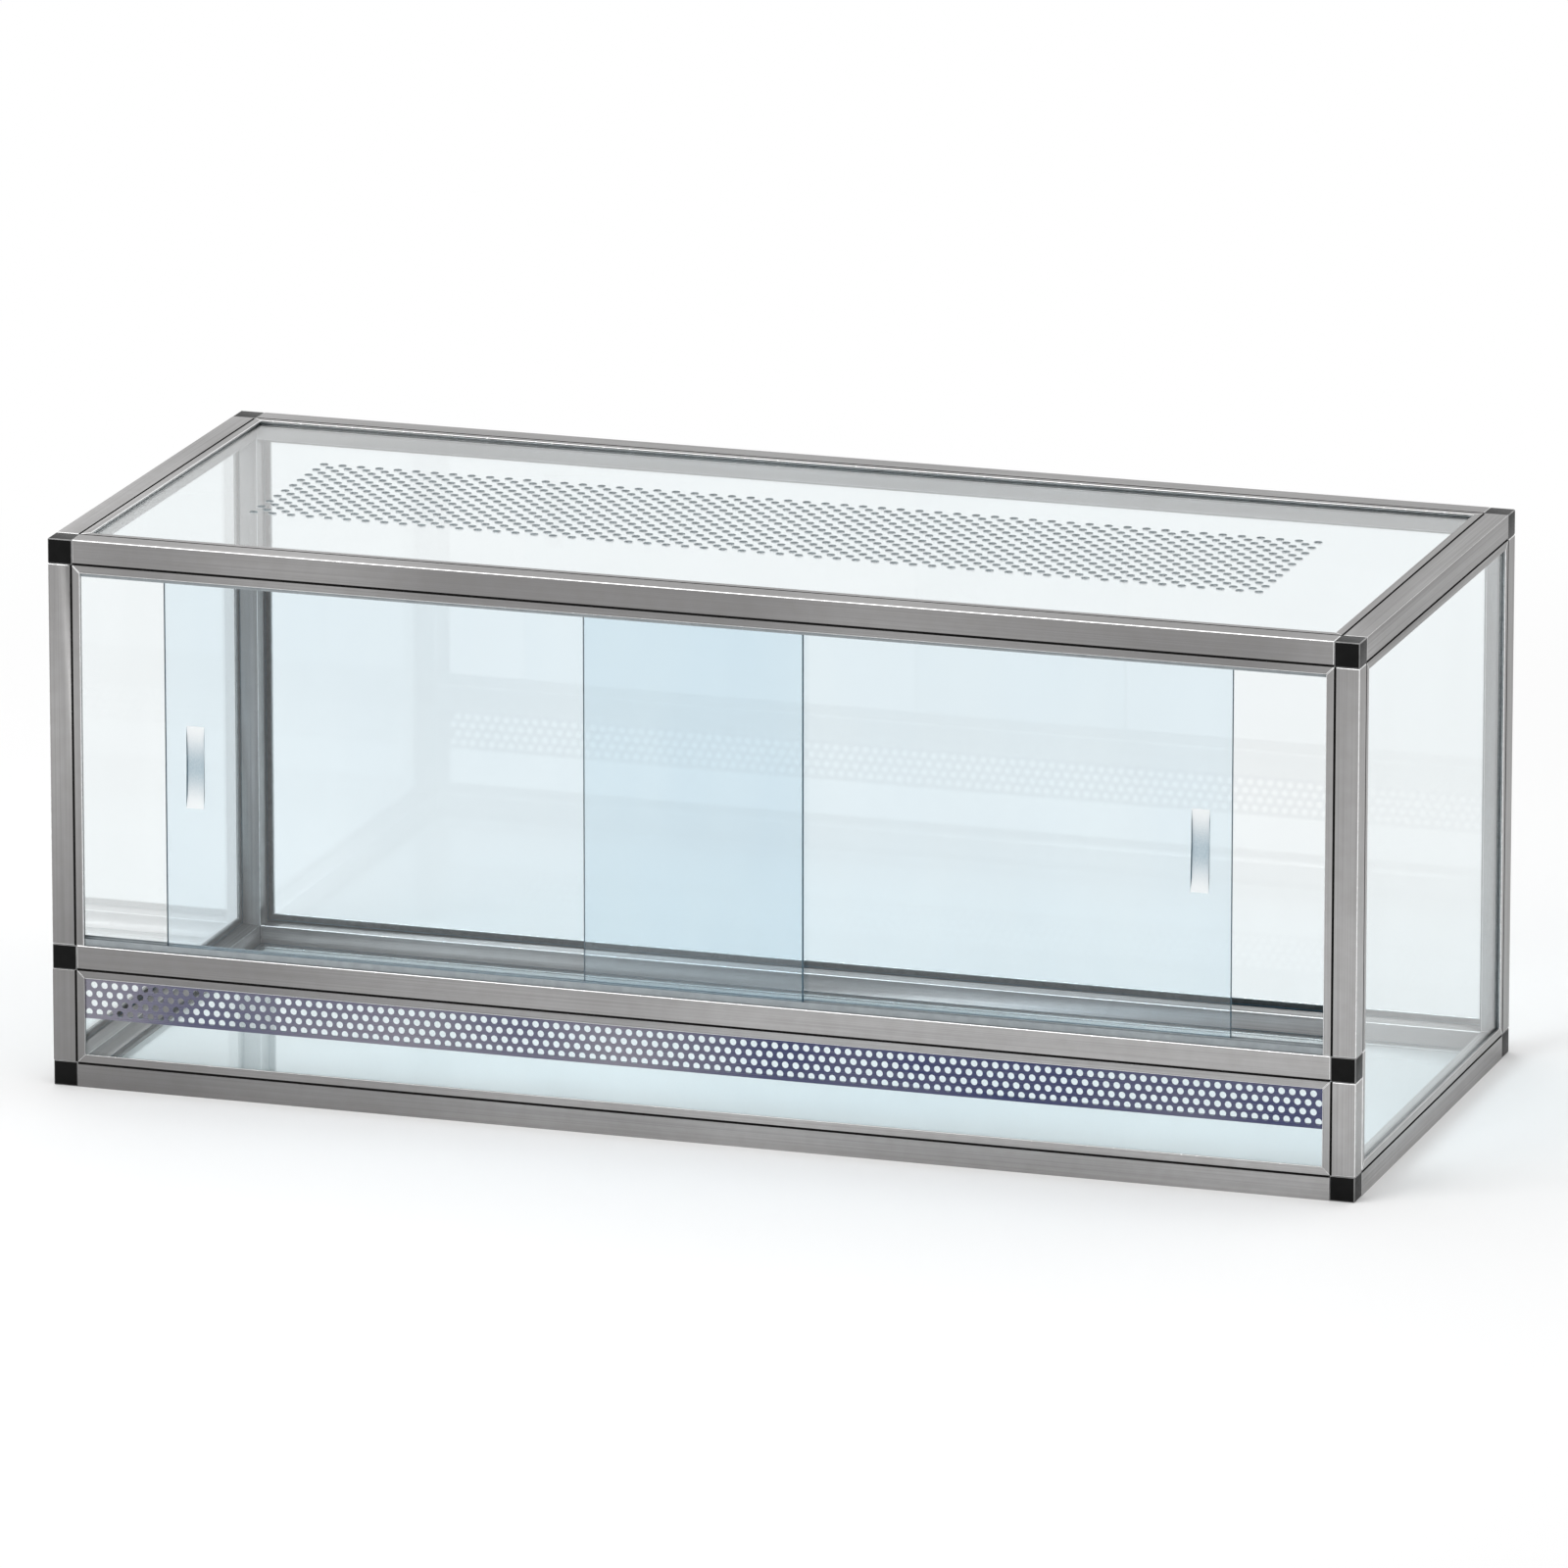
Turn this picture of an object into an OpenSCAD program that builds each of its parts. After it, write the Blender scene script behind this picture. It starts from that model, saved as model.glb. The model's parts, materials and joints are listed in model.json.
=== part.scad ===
// Reptile terrarium: glass panes in a push-together aluminium frame, with two sliding front doors.
// Millimetres. The origin is the centre of the footprint, on the floor. X runs along the front,
// Y runs to the rear and Z runs up. The doors are drawn as the picture shows them, part open.

/* [Overall] */
// Width of the frame, over the side faces
width = 1200; // [900:10:1800]
// Depth of the frame, front face to rear face
depth = 500; // [380:10:800]
// Height of the frame
height = 500; // [400:10:800]

/* [Frame profile] */
// Side of the square tube
tube = 23; // [20:0.5:30]
// Wall of the square tube
tube_wall = 1.8; // [1.2:0.1:2.5]
// Width of a glazing flange, past the tube
flange_w = 7; // [6:0.5:12]
// Thickness of a glazing flange
flange_t = 2; // [1.5:0.1:3]
// Width of the shadow groove at a flange's root
groove_w = 2.2; // [1:0.1:3]
// Depth of the shadow groove
groove_d = 0.9; // [0.3:0.1:1]
// Height of the mid rail's underside
mid_rail_z = 107; // [90:1:150]

/* [Connectors] */
// Length of a connector's leg inside a tube
leg_len = 30; // [15:1:30]
// Clearance between a leg and the tube's bore, each side
leg_fit = 0.2; // [0.1:0.05:0.5]
// Length of the tapered lead at a leg's tip
leg_lead = 4; // [2:0.5:8]
// How far the lead draws in, each side
leg_taper = 1.4; // [0.5:0.1:2]
// Width of the channel along each side of a leg
leg_channel_w = 7; // [4:0.5:10]
// Depth of the channel along each side of a leg
leg_channel_d = 2.5; // [1:0.1:4]
// Chamfer on the edges of a connector's cube
cube_edge = 0.9; // [0.2:0.1:1.2]

/* [Panes and seals] */
// Thickness of the fixed panes
glass_t = 4; // [3:0.5:6]
// Clearance between a pane's edge and the tubes
pane_gap = 1; // [0.5:0.1:2]
// Thickness of the seal between a flange and its pane
seal_t = 1; // [0.5:0.1:2]
// Width of the seal
seal_w = 5; // [3:0.5:6]

/* [Front vent] */
// Thickness of the perforated metal strip
vent_t = 1; // [0.6:0.1:2]
// Height of the lower pane that shows between the lower flange and the strip
lower_glass_show = 33.5; // [20:0.5:36]
// Lap of the strip over the lower pane
vent_lap = 3; // [2:0.5:6]
// Diameter of a hole in the strip
vent_hole_d = 6.2; // [3:0.1:7]
// Distance between neighbouring holes in the strip
vent_pitch = 9.6; // [9:0.1:14]

/* [Top vent] */
// Diameter of a hole in the top pane
roof_hole_d = 7.5; // [4:0.1:8]
// Distance between holes along a row
roof_pitch_x = 17.5; // [15:0.1:30]
// Distance between rows, which are offset by half a pitch
roof_pitch_y = 10.3; // [10:0.1:20]
// Distance from the side faces to the first holes
roof_margin_x = 135; // [60:1:300]
// Distance from the front and rear faces to the first holes
roof_margin_y = 156; // [60:1:180]

/* [Tracks] */
// Wall and floor of the door tracks
track_wall = 1.2; // [0.8:0.1:1.5]
// Width of a track's slot
track_slot = 5; // [4.6:0.1:6]
// Height of the lower track
low_track_h = 6; // [4:0.5:9]
// Height of the upper track
high_track_h = 10; // [9:0.5:16]
// Gap between a track's end and the post
track_end_gap = 0.3; // [0.1:0.1:1]

/* [Doors] */
// Thickness of a door's glass
door_t = 4; // [3:0.1:4.4]
// Width of a door
door_w = 590; // [400:1:700]
// Running clearance under a door
door_slack = 0.3; // [0.2:0.1:0.8]
// Spare height left over when a door is lifted out of the lower track
lift_spare = 0.5; // [0.2:0.1:1]
// Opening beside the left door as drawn, from the post's flange
left_open = 77; // [0:1:120]
// Opening beside the right door as drawn, from the post's flange
right_open = 86; // [0:1:120]
// Width of a ground-in finger pull
pull_w = 16.5; // [12:0.5:25]
// Height of a finger pull
pull_h = 75; // [50:1:100]
// Depth of a finger pull
pull_d = 1.8; // [1:0.1:2]
// Distance from a door's outer edge to its finger pull
pull_inset = 20; // [12:1:40]

/* [Hidden] */
// How far a cutter runs past the solid that it cuts
over = 1;
// Sides drawn on a hole, and on the wide arc of a finger pull
hole_fn = 24;
pull_fn = 256;

// Half sizes, and the inner ends of the tubes
half_w = width / 2;
half_d = depth / 2;
tube_end_x = half_w - tube;
tube_end_y = half_d - tube;
tube_end_z = height - tube;
mid_rail_top = mid_rail_z + tube;

// Connector legs
leg_side = tube - 2 * tube_wall - 2 * leg_fit;

// Panes: how far in their outer faces lie, and their sizes along each direction
pane_in = flange_t + seal_t;
pane_x = 2 * (tube_end_x - pane_gap);
pane_y = 2 * (tube_end_y - pane_gap);
pane_z0 = tube + pane_gap;
pane_z = tube_end_z - pane_gap - pane_z0;

// Front vent strip and the pane under it
strip_z0 = tube + flange_w + lower_glass_show;
strip_z1 = mid_rail_z - pane_gap;
lower_pane_z1 = strip_z0 + vent_lap;
vent_row_h = vent_pitch * sqrt(3) / 2;
vent_first_z = lower_pane_z1 + vent_hole_d / 2;
vent_show_z = mid_rail_z - flange_w - vent_hole_d / 2;
vent_rows = floor((vent_show_z - vent_first_z) / vent_row_h) + 1;
vent_half = floor((tube_end_x - flange_w) / vent_pitch);

// Holes in the top pane
roof_cols = floor((width - 2 * roof_margin_x) / roof_pitch_x);
roof_rows = floor((depth - 2 * roof_margin_y) / roof_pitch_y);

// Tracks and doors
track_len = 2 * (tube_end_x - track_end_gap);
track_depth = 3 * track_wall + 2 * track_slot;
track_y = -half_d + flange_t;
door_play = (track_slot - door_t) / 2;
front_door_y = track_y + track_wall + door_play;
rear_door_y = front_door_y + track_slot + track_wall;
door_z0 = mid_rail_top + track_wall + door_slack;
lift_room = low_track_h - track_wall - door_slack + lift_spare;
door_z1 = tube_end_z - track_wall - lift_room;
left_door_x = -tube_end_x + flange_w + left_open;
right_door_x = tube_end_x - flange_w - right_open - door_w;
pull_r = (pull_h * pull_h / 4 + pull_d * pull_d) / (2 * pull_d);

// ---- Frame profile ----

// Cross-section of the tube. Its outer faces lie on the axes, and a groove marks each flange's root.
module tube_section(groove_a, groove_b) {
  difference() {
    square(tube);
    translate([tube_wall, tube_wall]) square(tube - 2 * tube_wall);
    if (groove_a) translate([-over, tube - groove_w]) square([over + groove_d, groove_w]);
    if (groove_b) translate([tube - groove_w, -over]) square([groove_w, over + groove_d]);
  }
}

// A flange seen flat, from s to e along the tube. An end is mitred where its flag is 1.
module flange_outline(strip) {
  s = strip[0];
  e = strip[1];
  polygon([[s, 0], [e, 0], [e - strip[3] * flange_w, flange_w], [s + strip[2] * flange_w, flange_w]]);
}

// A length of profile along X, with its corner edge on the X axis. Flange a lies in the plane y = 0
// and flange b in the plane z = 0. Each is [start, end, mitred start, mitred end], or [] for none.
module profile(start, end, a, b) {
  color("#9a9898") {
    translate([start, 0, 0])
      rotate([90, 0, 90]) linear_extrude(end - start) tube_section(len(a) > 0, len(b) > 0);
    if (len(a) > 0)
      translate([0, flange_t, tube]) rotate([90, 0, 0]) linear_extrude(flange_t) flange_outline(a);
    if (len(b) > 0)
      translate([0, tube, 0]) linear_extrude(flange_t) flange_outline(b);
  }
}

// Both flanges run the tube's whole length and are mitred at both ends.
module edge_profile(start, end) {
  strip = [start, end, 1, 1];
  profile(start, end, strip, strip);
}

module rail_front_bottom() {
  translate([0, -half_d, 0]) edge_profile(-tube_end_x, tube_end_x);
}

module rail_front_top() {
  translate([0, -half_d, height]) mirror([0, 0, 1]) edge_profile(-tube_end_x, tube_end_x);
}

module rail_rear_bottom() {
  mirror([0, 1, 0]) rail_front_bottom();
}

module rail_rear_top() {
  mirror([0, 1, 0]) rail_front_top();
}

// The mid rail has one flange. It points down, in front of the vent strip's upper edge.
module rail_front_mid() {
  translate([0, -half_d, mid_rail_top]) mirror([0, 0, 1])
    profile(-tube_end_x, tube_end_x, [-tube_end_x, tube_end_x, 1, 1], []);
}

module rail_right_bottom() {
  translate([half_w, 0, 0]) rotate([0, 0, 90]) edge_profile(-tube_end_y, tube_end_y);
}

module rail_right_top() {
  translate([half_w, 0, height]) mirror([0, 0, 1]) rotate([0, 0, 90])
    edge_profile(-tube_end_y, tube_end_y);
}

module rail_left_bottom() {
  mirror([1, 0, 0]) rail_right_bottom();
}

module rail_left_top() {
  mirror([1, 0, 0]) rail_right_top();
}

// Stands a profile up at the front right corner: flange a faces front, flange b faces the side.
module stand_front_right() {
  translate([half_w, -half_d, 0]) rotate([0, -90, 0]) children();
}

// The lower post's side flange runs on past the tee, to meet the upper post's.
module post_front_right_lower() {
  stand_front_right()
    profile(tube, mid_rail_z, [tube, mid_rail_z, 1, 1], [tube, mid_rail_top, 1, 0]);
}

module post_front_right_upper() {
  stand_front_right()
    profile(mid_rail_top, tube_end_z, [mid_rail_top, tube_end_z, 0, 1], [mid_rail_top, tube_end_z, 0, 1]);
}

module post_front_left_lower() {
  mirror([1, 0, 0]) post_front_right_lower();
}

module post_front_left_upper() {
  mirror([1, 0, 0]) post_front_right_upper();
}

module post_rear_right() {
  mirror([0, 1, 0]) stand_front_right() edge_profile(tube, tube_end_z);
}

module post_rear_left() {
  mirror([1, 0, 0]) post_rear_right();
}

// ---- Connectors ----

// A square with chamfered corners, centred.
module chamfered_square(side, chamfer) {
  h = side / 2;
  c = h - chamfer;
  polygon([[c, -h], [h, -c], [h, c], [c, h], [-c, h], [-h, c], [-h, -c], [-c, -h]]);
}

// The cube that closes a corner, centred, with a chamfer on every edge.
module connector_cube() {
  intersection() {
    linear_extrude(tube, center = true) chamfered_square(tube, cube_edge);
    rotate([90, 0, 0]) linear_extrude(tube, center = true) chamfered_square(tube, cube_edge);
    rotate([0, 90, 0]) linear_extrude(tube, center = true) chamfered_square(tube, cube_edge);
  }
}

// A leg's side view: straight, then drawn in at the tip.
module leg_side_view() {
  h = leg_side / 2;
  tip = h - leg_taper;
  shoulder = leg_len - leg_lead;
  polygon([[-h, -over], [h, -over], [h, shoulder], [tip, leg_len], [-tip, leg_len], [-h, shoulder]]);
}

// A leg's cross-section: four ribs, one at each corner, round a core.
module leg_section() {
  difference() {
    square(leg_side, center = true);
    for (turn = [0:90:270])
      rotate(turn) translate([leg_side / 2 - leg_channel_d, -leg_channel_w / 2])
        square([leg_channel_d + over, leg_channel_w]);
  }
}

// One leg, up from the cube's centre.
module connector_leg() {
  translate([0, 0, tube / 2]) intersection() {
    translate([0, 0, -over]) linear_extrude(leg_len + over) leg_section();
    rotate([90, 0, 0]) linear_extrude(leg_side, center = true) leg_side_view();
    rotate([90, 0, 90]) linear_extrude(leg_side, center = true) leg_side_view();
  }
}

// Three-way connector. The signs say which corner: right or left, rear or front, top or bottom.
module corner(sx, sy, sz) {
  color("#161616")
    translate([sx * (half_w - tube / 2), sy * (half_d - tube / 2), height / 2 + sz * (height - tube) / 2])
      union() {
        connector_cube();
        rotate([0, -90 * sx, 0]) connector_leg();
        rotate([90 * sy, 0, 0]) connector_leg();
        rotate([sz > 0 ? 180 : 0, 0, 0]) connector_leg();
      }
}

module corner_front_left_bottom() {
  corner(-1, -1, -1);
}

module corner_front_right_bottom() {
  corner(1, -1, -1);
}

module corner_rear_left_bottom() {
  corner(-1, 1, -1);
}

module corner_rear_right_bottom() {
  corner(1, 1, -1);
}

module corner_front_left_top() {
  corner(-1, -1, 1);
}

module corner_front_right_top() {
  corner(1, -1, 1);
}

module corner_rear_left_top() {
  corner(-1, 1, 1);
}

module corner_rear_right_top() {
  corner(1, 1, 1);
}

// Tee between the two lengths of a front post and the mid rail.
module tee(sx) {
  color("#161616")
    translate([sx * (half_w - tube / 2), -half_d + tube / 2, mid_rail_z + tube / 2])
      union() {
        connector_cube();
        rotate([0, -90 * sx, 0]) connector_leg();
        connector_leg();
        rotate([180, 0, 0]) connector_leg();
      }
}

module tee_left() {
  tee(-1);
}

module tee_right() {
  tee(1);
}

// ---- Panes and seals ----

// A plate of the given outline, its lower face at z = 0.
module plate(x, y, t) {
  translate([-x / 2, -y / 2, 0]) cube([x, y, t]);
}

// A thin frame as large as its pane, which the flange covers.
module seal_ring(x, y) {
  color("#4a4c4d")
    difference() {
      plate(x, y, seal_t);
      translate([0, 0, -over]) plate(x - 2 * seal_w, y - 2 * seal_w, seal_t + 2 * over);
    }
}

// Turns a flat piece to the right-hand side: its top faces in, and it lies the given way in.
module on_right(inset) {
  translate([half_w - inset, 0, pane_z0 + pane_z / 2]) rotate([0, -90, 0]) children();
}

module on_rear(inset) {
  translate([0, half_d - inset, pane_z0 + pane_z / 2]) rotate([90, 0, 0]) children();
}

module pane_right() {
  color("#e2edf4", 0.35) on_right(pane_in) plate(pane_z, pane_y, glass_t);
}

module pane_left() {
  mirror([1, 0, 0]) pane_right();
}

module pane_rear() {
  color("#dae7f0", 0.35) on_rear(pane_in) plate(pane_x, pane_z, glass_t);
}

module pane_bottom() {
  color("#dcebf3", 0.35) translate([0, 0, pane_in]) plate(pane_x, pane_y, glass_t);
}

// The top pane has a band of staggered air holes, centred.
module pane_top() {
  color("#eaf2f5", 0.35)
    difference() {
      translate([0, 0, height - pane_in - glass_t]) plate(pane_x, pane_y, glass_t);
      for (row = [0:roof_rows])
        for (col = [0:roof_cols - row % 2])
          translate([
            (col - (roof_cols - row % 2) / 2) * roof_pitch_x,
            (row - roof_rows / 2) * roof_pitch_y,
            height - pane_in - glass_t - over
          ])
            cylinder(d = roof_hole_d, h = glass_t + 2 * over, $fn = hole_fn);
    }
}

module seal_right() {
  on_right(flange_t) seal_ring(pane_z, pane_y);
}

module seal_left() {
  mirror([1, 0, 0]) seal_right();
}

module seal_rear() {
  on_rear(flange_t) seal_ring(pane_x, pane_z);
}

module seal_bottom() {
  translate([0, 0, flange_t]) seal_ring(pane_x, pane_y);
}

module seal_top() {
  translate([0, 0, height - pane_in]) seal_ring(pane_x, pane_y);
}

// An upright plate behind the front flanges, from z0 to z1, its front face the given way in.
module front_plate(x, z0, z1, t, inset) {
  translate([-x / 2, -half_d + inset, z0]) cube([x, t, z1 - z0]);
}

module pane_front_lower() {
  color("#e4f0f6", 0.35) front_plate(pane_x, pane_z0, lower_pane_z1, glass_t, flange_t + vent_t);
}

// As thick as the strip that it meets, so that the pane lies flat on both.
module seal_front_lower() {
  color("#4a4c4d")
    difference() {
      front_plate(pane_x, pane_z0, strip_z0, vent_t, flange_t);
      front_plate(
        pane_x - 2 * seal_w,
        pane_z0 + seal_w,
        strip_z0 + over,
        vent_t + 2 * over,
        flange_t - over
      );
    }
}

// Perforated strip: rows of holes in a triangular pattern, across the part that shows.
module vent_strip() {
  color("#8d8b90")
    difference() {
      front_plate(pane_x, strip_z0, strip_z1, vent_t, flange_t);
      for (row = [0:vent_rows - 1])
        for (col = [-vent_half:vent_half - row % 2])
          translate([
            (col + (row % 2) / 2) * vent_pitch,
            -half_d + flange_t + vent_t + over,
            vent_first_z + row * vent_row_h
          ])
            rotate([90, 0, 0]) cylinder(d = vent_hole_d, h = vent_t + 2 * over, $fn = hole_fn);
    }
}

// ---- Tracks and doors ----

// Double track with its floor on z = 0 and its slots open upwards.
module double_track(h) {
  color("#a9adb0")
    translate([-track_len / 2, track_y, 0])
      difference() {
        cube([track_len, track_depth, h]);
        for (lane = [0, 1])
          translate([-over, track_wall + lane * (track_slot + track_wall), track_wall])
            cube([track_len + 2 * over, track_slot, h]);
      }
}

module track_lower() {
  translate([0, 0, mid_rail_top]) double_track(low_track_h);
}

module track_upper() {
  translate([0, 0, tube_end_z]) mirror([0, 0, 1]) double_track(high_track_h);
}

// A glass door with a finger pull ground into its front face, pull_x along from its left edge.
module door(x, y, pull_x) {
  color("#cfe2ec", 0.35)
    difference() {
      translate([x, y, door_z0]) cube([door_w, door_t, door_z1 - door_z0]);
      translate([x + pull_x, y + pull_d - pull_r, (door_z0 + door_z1) / 2])
        rotate([0, 90, 0]) cylinder(r = pull_r, h = pull_w, $fn = pull_fn);
    }
}

module door_left() {
  door(left_door_x, front_door_y, pull_inset);
}

module door_right() {
  door(right_door_x, rear_door_y, door_w - pull_inset - pull_w);
}

rail_front_bottom();
rail_front_mid();
rail_front_top();
rail_rear_bottom();
rail_rear_top();
rail_left_bottom();
rail_left_top();
rail_right_bottom();
rail_right_top();
post_front_left_lower();
post_front_left_upper();
post_front_right_lower();
post_front_right_upper();
post_rear_left();
post_rear_right();
corner_front_left_bottom();
corner_front_right_bottom();
corner_rear_left_bottom();
corner_rear_right_bottom();
corner_front_left_top();
corner_front_right_top();
corner_rear_left_top();
corner_rear_right_top();
tee_left();
tee_right();
pane_left();
pane_right();
pane_rear();
pane_bottom();
pane_top();
pane_front_lower();
seal_left();
seal_right();
seal_rear();
seal_bottom();
seal_top();
seal_front_lower();
vent_strip();
track_lower();
track_upper();
door_left();
door_right();
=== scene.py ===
# %% [markdown]
# # A glass terrarium in an aluminium frame
# The real object is a long glass box. Square aluminium tubes with thin flanges are pushed onto black
# plastic corner pieces, glass panes are bedded against the flanges, and two glass doors slide in a
# double track above a strip of perforated metal.
#
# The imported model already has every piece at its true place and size, so nothing here is fitted by eye.
# This script gives those pieces their finish: softened edges, drilled sheets and real materials.

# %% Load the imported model
import json
import math

import bmesh
import bpy
from mathutils import Matrix, Vector

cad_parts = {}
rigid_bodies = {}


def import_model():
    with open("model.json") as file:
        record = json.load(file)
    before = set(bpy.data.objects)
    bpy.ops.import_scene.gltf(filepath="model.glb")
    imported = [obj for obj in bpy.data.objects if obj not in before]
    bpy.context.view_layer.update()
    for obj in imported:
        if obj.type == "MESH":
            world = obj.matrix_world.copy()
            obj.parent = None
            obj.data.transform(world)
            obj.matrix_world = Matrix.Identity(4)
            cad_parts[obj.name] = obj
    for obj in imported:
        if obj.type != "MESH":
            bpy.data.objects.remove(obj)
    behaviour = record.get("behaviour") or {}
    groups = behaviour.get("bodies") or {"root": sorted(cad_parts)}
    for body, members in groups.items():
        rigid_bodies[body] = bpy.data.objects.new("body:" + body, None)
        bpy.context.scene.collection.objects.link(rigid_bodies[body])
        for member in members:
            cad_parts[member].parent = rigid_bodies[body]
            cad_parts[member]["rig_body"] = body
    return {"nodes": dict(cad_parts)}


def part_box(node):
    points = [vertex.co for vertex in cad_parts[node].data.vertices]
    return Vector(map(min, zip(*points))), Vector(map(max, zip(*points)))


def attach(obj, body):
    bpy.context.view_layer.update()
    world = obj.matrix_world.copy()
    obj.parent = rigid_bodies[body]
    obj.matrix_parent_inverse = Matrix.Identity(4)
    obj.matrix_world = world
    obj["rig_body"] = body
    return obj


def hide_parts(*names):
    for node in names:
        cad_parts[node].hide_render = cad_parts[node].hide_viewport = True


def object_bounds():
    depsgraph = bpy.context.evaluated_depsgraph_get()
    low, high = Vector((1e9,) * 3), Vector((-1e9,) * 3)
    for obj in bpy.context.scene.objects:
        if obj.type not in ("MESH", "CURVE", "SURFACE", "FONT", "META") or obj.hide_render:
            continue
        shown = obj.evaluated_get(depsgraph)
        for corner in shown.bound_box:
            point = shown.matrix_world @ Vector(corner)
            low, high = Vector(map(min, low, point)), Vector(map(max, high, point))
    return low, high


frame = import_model()
cad_lo, cad_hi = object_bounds()
MM = 0.001
print("box of the packed model, mm:", [round(v / MM, 1) for v in cad_hi - cad_lo])

# %% [markdown]
# ## Colours and nodes
# Colours are easiest to pick as the hex values that a paint chart gives, but Blender mixes light in
# linear values. One function does that change. A second one adds a node with its settings and links,
# so that a material reads as a short list of nodes.

# %% A colour and a node
def linear(hex_colour):
    """Linear red, green, blue and alpha of an sRGB hex colour such as #a0a0a0."""
    channels = [int(hex_colour[i:i + 2], 16) / 255 for i in (1, 3, 5)]
    return [c / 12.92 if c <= 0.04045 else ((c + 0.055) / 1.055) ** 2.4 for c in channels] + [1.0]


def add(tree, kind, inputs=None, **settings):
    """Adds a node. inputs maps a socket's name or number to a value, a hex colour, a node or its output."""
    node = tree.nodes.new(kind)
    for name, value in settings.items():
        setattr(node, name, value)
    for key, value in (inputs or {}).items():
        socket = node.inputs[key] if isinstance(key, int) else next(
            s for s in node.inputs if s.enabled and s.name == key)
        if isinstance(value, bpy.types.Node):
            value = next(output for output in value.outputs if output.enabled)
        if isinstance(value, bpy.types.NodeSocket):
            tree.links.new(value, socket)
        else:
            socket.default_value = linear(value) if isinstance(value, str) else value
    return node


print("mid grey #808080 in linear values:", [round(c, 3) for c in linear("#808080")])

# %% [markdown]
# ## Random patterns of a real size
# Extrusion lines, dust, grain and scuffs are all random, and differ in their size and direction. One
# pattern serves them all. It reads the piece's own coordinates in metres, so a size in millimetres stays
# true on every piece. A texture that is too fine to show in a picture of the whole object is drawn coarser,
# and its cell says so.

# %% An empty material and a random pattern
NOISE_LOW, NOISE_HIGH = 0.35, 0.65
FAINT = 0.25


def new_material(name):
    material = bpy.data.materials.new(name)
    material.use_nodes = True
    material.node_tree.nodes.clear()
    return material, material.node_tree


def blotches(tree, size, detail=2.0, stretch=(1.0, 1.0, 1.0), most=1.0):
    """A pattern from 0 to most, in blotches about size across. A small stretch draws them out."""
    place = add(tree, "ShaderNodeTexCoord").outputs["Object"]
    drawn_out = add(tree, "ShaderNodeMapping", {"Vector": place, "Scale": stretch})
    mist = add(tree, "ShaderNodeTexNoise", {"Vector": drawn_out, "Scale": 1 / size, "Detail": detail})
    return add(tree, "ShaderNodeMapRange", {
        "Value": mist, "From Min": NOISE_LOW, "From Max": NOISE_HIGH, "To Max": most})


# %% [markdown]
# ## Anodised aluminium
# The frame tubes are extruded, so faint lines run along each tube, then anodised, which leaves a grey
# satin skin. The lines are blotches that are drawn out along the tube. A real line is a few hundredths of
# a millimetre wide, too fine to show, so it is drawn about a millimetre wide. A slow change of tone along
# the tube is the colour drift that anodising leaves, and a little dust dulls it in patches.

# %% Aluminium for tubes along X, Y and Z
LINE_WIDTH = 1.1 * MM
LINE_DRAW = 0.004
DRIFT_LENGTH = 0.4
DUST_PATCH, DUST_COVER = 14 * MM, 0.12
AXES = {"x": 0, "y": 1, "z": 2}


def anodised(axis):
    material, tree = new_material(f"anodised_aluminium_{axis}")
    stretch = [LINE_DRAW if name == axis else 1.0 for name in AXES]
    lines = blotches(tree, LINE_WIDTH, 3.0, stretch)
    faint_lines = blotches(tree, LINE_WIDTH, 3.0, stretch, FAINT)
    drift = blotches(tree, DRIFT_LENGTH, 1.0)
    dust = blotches(tree, DUST_PATCH, 4.0, most=DUST_COVER)
    skin = add(tree, "ShaderNodeMix", {"Factor": drift, "A": "#8a8989", "B": "#b1b0b0"}, data_type="RGBA")
    lined = add(tree, "ShaderNodeMix", {"Factor": faint_lines, "A": skin, "B": "#757474"}, data_type="RGBA")
    dusty = add(tree, "ShaderNodeMix", {"Factor": dust, "A": lined, "B": "#77736c"}, data_type="RGBA")
    bump = add(tree, "ShaderNodeBump", {"Strength": 0.12, "Distance": 0.05 * MM, "Height": lines})
    satin = add(tree, "ShaderNodeMapRange", {"Value": lines, "To Min": 0.30, "To Max": 0.42})
    shader = add(tree, "ShaderNodeBsdfPrincipled", {
        "Base Color": dusty, "Metallic": 1.0, "Roughness": satin, "Normal": bump})
    add(tree, "ShaderNodeOutputMaterial", {"Surface": shader})
    return material


ALUMINIUM = {axis: anodised(axis) for axis in AXES}
print("aluminium:", [material.name for material in ALUMINIUM.values()])

# %% [markdown]
# ## Edges and grooves of the aluminium
# The rounded corners are painted nearly white: a painted highlight for the thin line of light that runs
# along each edge. Beside each flange the extrusion has a narrow groove. Its floor is painted near black,
# painted shade for the groove where no light reaches, with a little dust on it.

# %% Painted highlight on the corners and painted shade in the groove
HIGHLIGHT_BLOTCH = 5 * MM
GROOVE_DUST, GROOVE_COVER = 3 * MM, 0.35


def painted_corner_highlight():
    material, tree = new_material("aluminium_edge_painted_highlight")
    rub_and_sheen_blotches = blotches(tree, HIGHLIGHT_BLOTCH, 3.0)
    # Near white: a painted highlight along the rounded corners, varied in blotches.
    metal = add(tree, "ShaderNodeMix", {"Factor": rub_and_sheen_blotches, "A": "#f6f6f6", "B": "#e0e0e0"}, data_type="RGBA")
    gloss = add(tree, "ShaderNodeMapRange", {"Value": rub_and_sheen_blotches, "To Min": 0.25, "To Max": 0.38})
    shader = add(tree, "ShaderNodeBsdfPrincipled", {
        "Base Color": metal, "Metallic": 1.0, "Roughness": gloss})
    add(tree, "ShaderNodeOutputMaterial", {"Surface": shader})
    return material


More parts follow.
